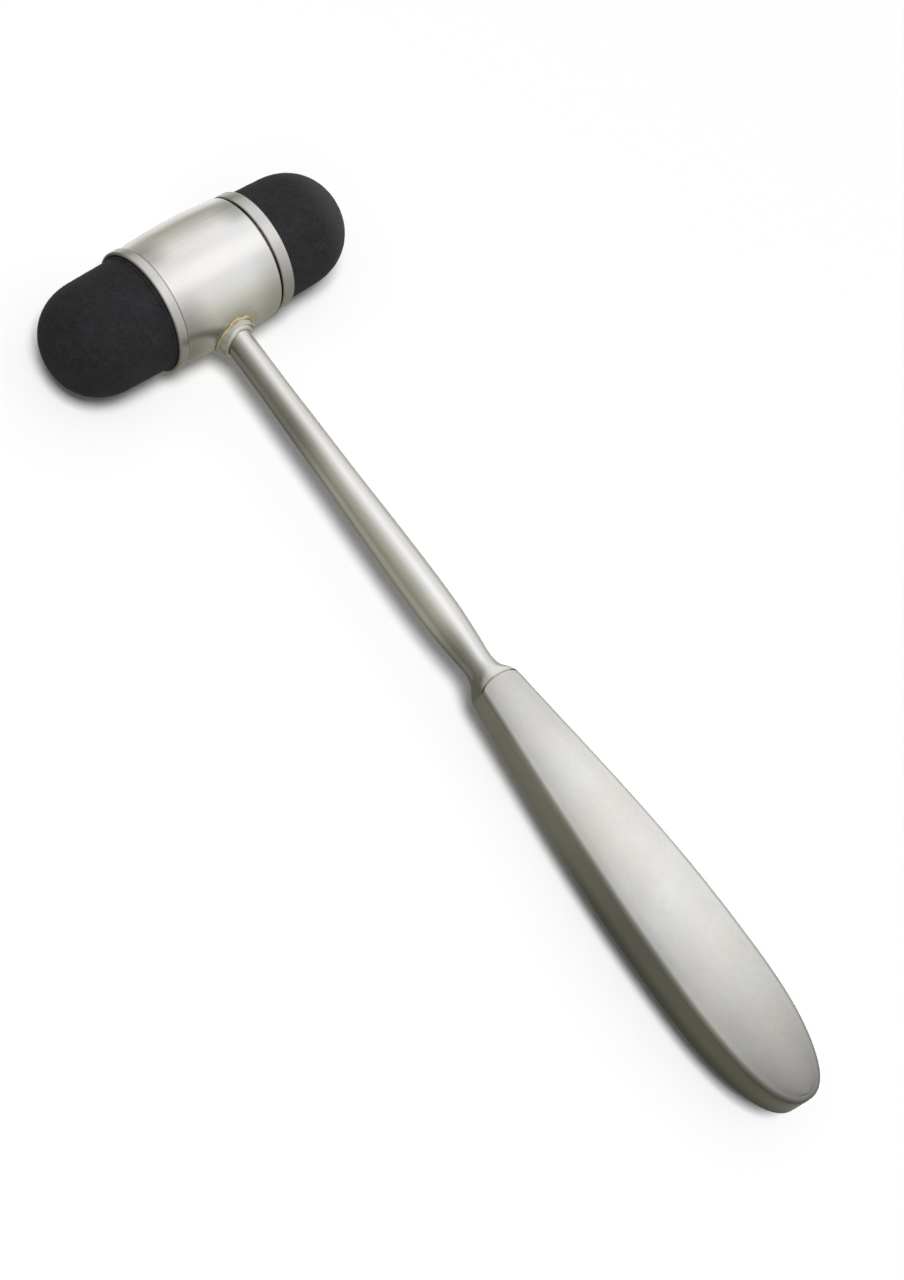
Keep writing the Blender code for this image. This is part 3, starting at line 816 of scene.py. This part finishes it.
def make_handle():
    """Hollow tray with rounded lower edges, and the plate that closes it."""
    def edge(y):
        return half_thickness(y) - crown(y)

    def satin(name, colour, tint):
        return steel(name, colour, 0.36, (260.0, 90.0, 260.0), wave=0.00010,
                     wave_size=75.0, spread=0.03, tint=tint, wear=0.0)

    rounding = [(EDGE_R - EDGE_R * math.sin(a), EDGE_R - EDGE_R * math.cos(a))
                for a in (math.pi / 2 * i / 10 for i in range(11))]
    body_layers = [(inset, lambda y, d=depth: d - edge(y)) for inset, depth in rounding]
    body_layers += [(0.0, lambda y: edge(y) - WALL), (WALL, lambda y: edge(y) - WALL),
                    (WALL, lambda y: WALL - edge(y))]
    body = handle_loft("handle_tray", body_layers, bulge=(-1.0, 0.0))
    wall = satin("handle_wall_satin", (0.53, 0.525, 0.51), wall_painted_shade_and_braze)
    settle(body, wall, "hammer", "handle_body")
    plate_layers = [(0.02, lambda y: edge(y) - WALL)]
    plate_layers += [(inset, lambda y, d=depth: edge(y) - d) for inset, depth in
                     reversed(rounding[:-1])]
    plate = handle_loft("handle_plate", plate_layers, bulge=(0.0, 1.0))
    face = satin("handle_face_satin", (0.53, 0.527, 0.51), face_painted_light_and_mottle)
    settle(plate, face, "hammer", "handle_face_plate")


# ---------------------------------------------------------------- stage

ROOM_UP = (0.60, -0.12, 0.79)      # towards the brightest part of the room
FLOOR_HALF, FLOOR_GAP = 12.0, 0.00005


def area(name, place, size, radiance, colour=(1.0, 1.0, 1.0)):
    """Soft square light for the matt surfaces, aimed at the middle of the hammer.

    The metal doesn't mirror it: it reflects the studio's walls instead.
    """
    light = bpy.data.lights.new(name, 'AREA')
    light.shape = 'SQUARE'
    light.size = size
    light.energy = radiance * math.pi * size * size
    light.color = colour
    obj = bpy.data.objects.new(name, light)
    bpy.context.scene.collection.objects.link(obj)
    obj.location = place
    obj.rotation_euler = (-Vector(place)).to_track_quat('-Z', 'Y').to_euler()
    obj.visible_glossy = False


def make_floor():
    """Level table under the barrel."""
    bm = bmesh.new()
    bmesh.ops.create_grid(bm, x_segments=8, y_segments=8, size=FLOOR_HALF)
    floor = link("floor", bm)
    floor.location = (0.0, 0.0, cad_box[0][2] - FLOOR_GAP)
    n = Nodes("floor_paper", 0.0, (0.93, 0.93, 0.93), 0.9, specular=0.0)
    shade(floor, n.mat)
    floor.visible_glossy = False


def make_studio():
    """Pale room seen in the metal: bright above and to the right, dim at the left.

    Its walls don't light the matt surfaces: two soft lights do.
    """
    world = bpy.data.worlds.new("studio")
    bpy.context.scene.world = world
    world.use_nodes = True
    world.cycles_visibility.diffuse = False
    tree = world.node_tree
    way = tree.nodes.new("ShaderNodeTexCoord").outputs["Generated"]

    def towards(direction, start, end, low, high, kind='SMOOTHSTEP'):
        """`low` to `high` as the cosine to a direction goes from `start` to `end`."""
        dot = tree.nodes.new("ShaderNodeVectorMath")
        dot.operation = 'DOT_PRODUCT'
        tree.links.new(way, dot.inputs[0])
        dot.inputs[1].default_value = Vector(direction).normalized()
        remap = tree.nodes.new("ShaderNodeMapRange")
        remap.interpolation_type = kind
        tree.links.new(dot.outputs["Value"], remap.inputs["Value"])
        for key, number in zip(RANGE_INPUTS, (start, end, low, high)):
            remap.inputs[key].default_value = number
        return remap.outputs["Result"]

    total = towards(ROOM_UP, -1.0, 1.0, 0.20, 0.82, 'LINEAR')
    for patch in ((ROOM_UP, 0.2, 0.9, 0.0, 0.35), ((0.43, -0.02, 0.90), 0.89, 1.0, 0.0, 0.30),
                  ((0.43, 0.78, 0.42), 0.78, 1.0, 0.0, 0.26),
                  ((0.43, 0.60, -0.67), 0.875, 1.0, 0.0, 0.72),
                  ((-0.83, 0.14, -0.54), 0.86, 0.98, 0.0, 0.22)):
        add = tree.nodes.new("ShaderNodeMath")
        add.operation = 'ADD'
        tree.links.new(total, add.inputs[0])
        tree.links.new(towards(*patch), add.inputs[1])
        total = add.outputs[0]
    # the dim parts are a little yellow, the bright ones neutral
    tone = tree.nodes.new("ShaderNodeMapRange")
    tree.links.new(total, tone.inputs["Value"])
    tone.inputs["From Min"].default_value = 0.25
    tone.inputs["From Max"].default_value = 1.15
    tint = tree.nodes.new("ShaderNodeMix")
    tint.data_type = 'RGBA'
    tree.links.new(tone.outputs["Result"], tint.inputs["Factor"])
    tint.inputs[6].default_value = (1.0, 0.985, 0.78, 1.0)
    tint.inputs[7].default_value = (1.0, 0.995, 1.0, 1.0)
    sky = tree.nodes["Background"]
    tree.links.new(tint.outputs[2], sky.inputs["Color"])
    tree.links.new(total, sky.inputs["Strength"])

    area("key", (-2.28, -1.24, 9.6), 2.6, 40.2)
    area("fill", (0.0, 0.0, 9.2), 21.2, 0.43, (0.98, 0.96, 1.0))


make_barrel()
ring_steel = steel("ring_satin", (0.52, 0.515, 0.506), 0.27, (500.0, 500.0, 2600.0),
                   spread=0.03, tint=ring_painted_shade)
make_ring("large_ring_band", "large_end_ring", LARGE_RING_R, BARREL_LEFT + 0.12,
          LARGE_RING_MOUTH, LARGE_BEAD_R, -1, 0.2, ring_steel)
make_ring("small_ring_band", "small_end_ring", SMALL_RING_R, BARREL_RIGHT + 0.35,
          SMALL_RING_MOUTH, SMALL_BEAD_R, 1, 0.35, ring_steel)
black = rubber("large_buffer_rubber", (0.0135, 0.0123, 0.0142))
# small buffer's rubber, with a painted highlight on its tip
black_tip = rubber("small_buffer_rubber", (0.0155, 0.0142, 0.0160), tip_highlight=(0.010, 0.020))
make_buffer("large_buffer_rubber", "large_buffer", "large_buffer_plug", LARGE_BEAD_R, 0.8,
            LARGE_RING_MOUTH, 24.8, 14.0, -1, black)
make_buffer("small_buffer_rubber", "small_buffer", "small_buffer_plug", SMALL_BEAD_R, 0.2,
            SMALL_RING_MOUTH, 22.3, 14.2, 1, black_tip)
make_collar()
make_braze()
make_shaft()
make_handle()
make_floor()
make_studio()
bpy.context.scene.view_settings.view_transform = 'Standard'
